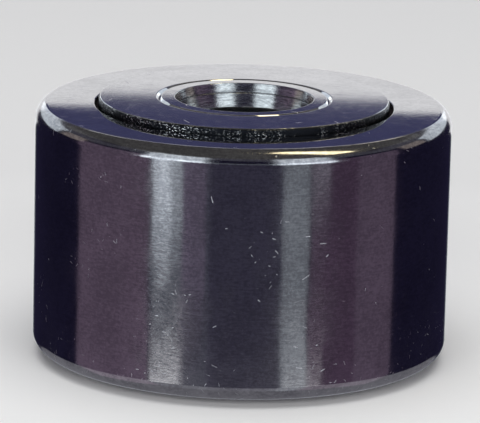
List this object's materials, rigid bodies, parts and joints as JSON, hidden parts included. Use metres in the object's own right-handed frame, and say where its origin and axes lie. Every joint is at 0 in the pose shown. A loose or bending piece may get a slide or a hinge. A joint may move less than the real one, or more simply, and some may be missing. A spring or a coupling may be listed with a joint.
{
  "type": "cam follower",
  "caption": "Yoke-type cam follower: a thick crowned-corner outer ring rolling on caged needle rollers round a bored inner ring held between two end plates.",
  "frame": {"origin": "middle of the axis, half way between the two end faces", "axes": "+Z along the axis of rotation, up through the upper end plate; the oil hole in the inner ring points along +X"},
  "size_m": [0.0318, 0.0318, 0.0202],
  "materials": {
    "ground_ring_steel": "hardened steel, dark, finely ground and polished",
    "inner_ring_steel": "hardened steel, ground end faces and reamed bore",
    "plate_steel": "hardened steel, satin ground face and rough blanked edge",
    "seal_polymer": "black acetal, matte",
    "cage_steel": "pressed steel, phosphated",
    "needle_steel": "bearing steel, polished"
  },
  "bodies": {
    "inner_ring_and_plates": {"inner_ring": "inner_ring_steel", "upper_end_plate": "plate_steel", "lower_end_plate": "plate_steel"},
    "outer_ring_body": {"outer_ring": "ground_ring_steel", "upper_seal_ring": "seal_polymer", "lower_seal_ring": "seal_polymer"},
    "cage_body": {"needle_cage": "cage_steel"},
    "needle_01_body": {"needle_01": "needle_steel"},
    "needle_02_body": {"needle_02": "needle_steel"},
    "needle_03_body": {"needle_03": "needle_steel"},
    "needle_04_body": {"needle_04": "needle_steel"},
    "needle_05_body": {"needle_05": "needle_steel"},
    "needle_06_body": {"needle_06": "needle_steel"},
    "needle_07_body": {"needle_07": "needle_steel"},
    "needle_08_body": {"needle_08": "needle_steel"},
    "needle_09_body": {"needle_09": "needle_steel"},
    "needle_10_body": {"needle_10": "needle_steel"},
    "needle_11_body": {"needle_11": "needle_steel"},
    "needle_12_body": {"needle_12": "needle_steel"},
    "needle_13_body": {"needle_13": "needle_steel"},
    "needle_14_body": {"needle_14": "needle_steel"},
    "needle_15_body": {"needle_15": "needle_steel"},
    "needle_16_body": {"needle_16": "needle_steel"}
  },
  "joints": [
    {"name": "outer_ring_spin", "type": "hinge", "parent": "inner_ring_and_plates", "child": "outer_ring_body", "pos_m": [0, 0, 0], "axis": [0, 0, 1], "continuous": true},
    {"name": "cage_orbit", "type": "hinge", "parent": "inner_ring_and_plates", "child": "cage_body", "pos_m": [0, 0, 0], "axis": [0, 0, 1], "continuous": true},
    {"name": "needle_01_spin", "type": "hinge", "parent": "cage_body", "child": "needle_01_body", "pos_m": [0.00876, 0, 0], "axis": [0, 0, 1], "continuous": true},
    {"name": "needle_02_spin", "type": "hinge", "parent": "cage_body", "child": "needle_02_body", "pos_m": [0.00809, 0.00335, 0], "axis": [0, 0, 1], "continuous": true},
    {"name": "needle_03_spin", "type": "hinge", "parent": "cage_body", "child": "needle_03_body", "pos_m": [0.00619, 0.00619, 0], "axis": [0, 0, 1], "continuous": true},
    {"name": "needle_04_spin", "type": "hinge", "parent": "cage_body", "child": "needle_04_body", "pos_m": [0.00335, 0.00809, 0], "axis": [0, 0, 1], "continuous": true},
    {"name": "needle_05_spin", "type": "hinge", "parent": "cage_body", "child": "needle_05_body", "pos_m": [0, 0.00876, 0], "axis": [0, 0, 1], "continuous": true},
    {"name": "needle_06_spin", "type": "hinge", "parent": "cage_body", "child": "needle_06_body", "pos_m": [-0.00335, 0.00809, 0], "axis": [0, 0, 1], "continuous": true},
    {"name": "needle_07_spin", "type": "hinge", "parent": "cage_body", "child": "needle_07_body", "pos_m": [-0.00619, 0.00619, 0], "axis": [0, 0, 1], "continuous": true},
    {"name": "needle_08_spin", "type": "hinge", "parent": "cage_body", "child": "needle_08_body", "pos_m": [-0.00809, 0.00335, 0], "axis": [0, 0, 1], "continuous": true},
    {"name": "needle_09_spin", "type": "hinge", "parent": "cage_body", "child": "needle_09_body", "pos_m": [-0.00876, 0, 0], "axis": [0, 0, 1], "continuous": true},
    {"name": "needle_10_spin", "type": "hinge", "parent": "cage_body", "child": "needle_10_body", "pos_m": [-0.00809, -0.00335, 0], "axis": [0, 0, 1], "continuous": true},
    {"name": "needle_11_spin", "type": "hinge", "parent": "cage_body", "child": "needle_11_body", "pos_m": [-0.00619, -0.00619, 0], "axis": [0, 0, 1], "continuous": true},
    {"name": "needle_12_spin", "type": "hinge", "parent": "cage_body", "child": "needle_12_body", "pos_m": [-0.00335, -0.00809, 0], "axis": [0, 0, 1], "continuous": true},
    {"name": "needle_13_spin", "type": "hinge", "parent": "cage_body", "child": "needle_13_body", "pos_m": [0, -0.00876, 0], "axis": [0, 0, 1], "continuous": true},
    {"name": "needle_14_spin", "type": "hinge", "parent": "cage_body", "child": "needle_14_body", "pos_m": [0.00335, -0.00809, 0], "axis": [0, 0, 1], "continuous": true},
    {"name": "needle_15_spin", "type": "hinge", "parent": "cage_body", "child": "needle_15_body", "pos_m": [0.00619, -0.00619, 0], "axis": [0, 0, 1], "continuous": true},
    {"name": "needle_16_spin", "type": "hinge", "parent": "cage_body", "child": "needle_16_body", "pos_m": [0.00809, -0.00335, 0], "axis": [0, 0, 1], "continuous": true}
  ],
  "couplings": [
    {"joint": "cage_orbit", "follows": "outer_ring_spin", "ratio": 0.57135},
    {"joint": "needle_01_spin", "follows": "outer_ring_spin", "ratio": 3.4327},
    {"joint": "needle_02_spin", "follows": "outer_ring_spin", "ratio": 3.4327},
    {"joint": "needle_03_spin", "follows": "outer_ring_spin", "ratio": 3.4327},
    {"joint": "needle_04_spin", "follows": "outer_ring_spin", "ratio": 3.4327},
    {"joint": "needle_05_spin", "follows": "outer_ring_spin", "ratio": 3.4327},
    {"joint": "needle_06_spin", "follows": "outer_ring_spin", "ratio": 3.4327},
    {"joint": "needle_07_spin", "follows": "outer_ring_spin", "ratio": 3.4327},
    {"joint": "needle_08_spin", "follows": "outer_ring_spin", "ratio": 3.4327},
    {"joint": "needle_09_spin", "follows": "outer_ring_spin", "ratio": 3.4327},
    {"joint": "needle_10_spin", "follows": "outer_ring_spin", "ratio": 3.4327},
    {"joint": "needle_11_spin", "follows": "outer_ring_spin", "ratio": 3.4327},
    {"joint": "needle_12_spin", "follows": "outer_ring_spin", "ratio": 3.4327},
    {"joint": "needle_13_spin", "follows": "outer_ring_spin", "ratio": 3.4327},
    {"joint": "needle_14_spin", "follows": "outer_ring_spin", "ratio": 3.4327},
    {"joint": "needle_15_spin", "follows": "outer_ring_spin", "ratio": 3.4327},
    {"joint": "needle_16_spin", "follows": "outer_ring_spin", "ratio": 3.4327}
  ]
}
